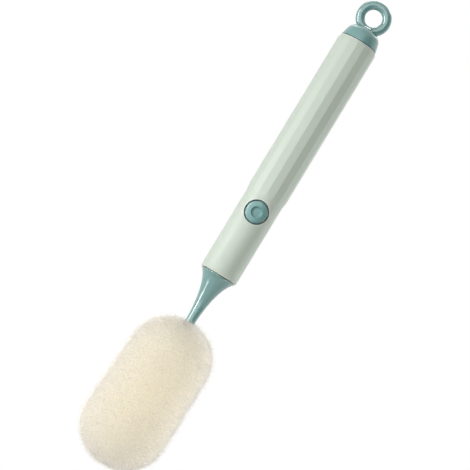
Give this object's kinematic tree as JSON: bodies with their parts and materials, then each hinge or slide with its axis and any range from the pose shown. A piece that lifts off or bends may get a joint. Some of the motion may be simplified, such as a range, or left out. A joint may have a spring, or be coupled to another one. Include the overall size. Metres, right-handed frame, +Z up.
{
  "type": "sponge bottle brush",
  "caption": "Long-handled bottle brush with a foam head that comes off at a push button, and a swivelling hanging ring.",
  "frame": {"origin": "centre of the hanging ring's eye", "axes": "+Z up along the handle to the ring, the button faces -Y, +X to the right seen from the button"},
  "size_m": [0.0596, 0.0596, 0.3502],
  "materials": {
    "teal_gloss": "gloss",
    "mint_satin": "satin",
    "button_satin": "satin",
    "white_moulding": "satin",
    "seal_rubber": "matte",
    "spring_steel": "satin",
    "cream_foam": "matte"
  },
  "bodies": {
    "hanger": {"hanging_ring": "teal_gloss", "ring_washer": "white_moulding", "ring_clip": "spring_steel"},
    "handle": {"end_cap": "teal_gloss", "cap_seal": "seal_rubber", "barrel": "mint_satin", "mouth_collar": "white_moulding", "housing_front": "white_moulding", "housing_rear": "white_moulding", "housing_screw_1": "spring_steel", "housing_screw_2": "spring_steel", "housing_screw_3": "spring_steel", "housing_screw_4": "spring_steel", "latch_clip": "spring_steel", "button_spring_upper": "spring_steel", "button_spring_lower": "spring_steel"},
    "button": {"push_button": "button_satin"},
    "head": {"neck": "teal_gloss", "shank": "white_moulding", "neck_pin": "spring_steel", "neck_seal": "seal_rubber", "stem_wire": "spring_steel", "sponge_anchor": "white_moulding", "sponge": "cream_foam"}
  },
  "joints": [
    {"name": "ring_swivel", "type": "hinge", "parent": "hanger", "child": "handle", "pos_m": [0, 0, 0], "axis": [0, 0, 1], "continuous": true},
    {"name": "button_press", "type": "slide", "parent": "handle", "child": "button", "axis": [0, 1, 0], "range_m": [0, 0.0025], "stiffness_N_per_m": 1200, "deforming": ["button_spring_upper", "button_spring_lower", "latch_clip"]},
    {"name": "head_release", "type": "slide", "parent": "handle", "child": "head", "axis": [0, 0, -1], "range_m": [0, 0.07], "deforming": ["latch_clip"]}
  ]
}
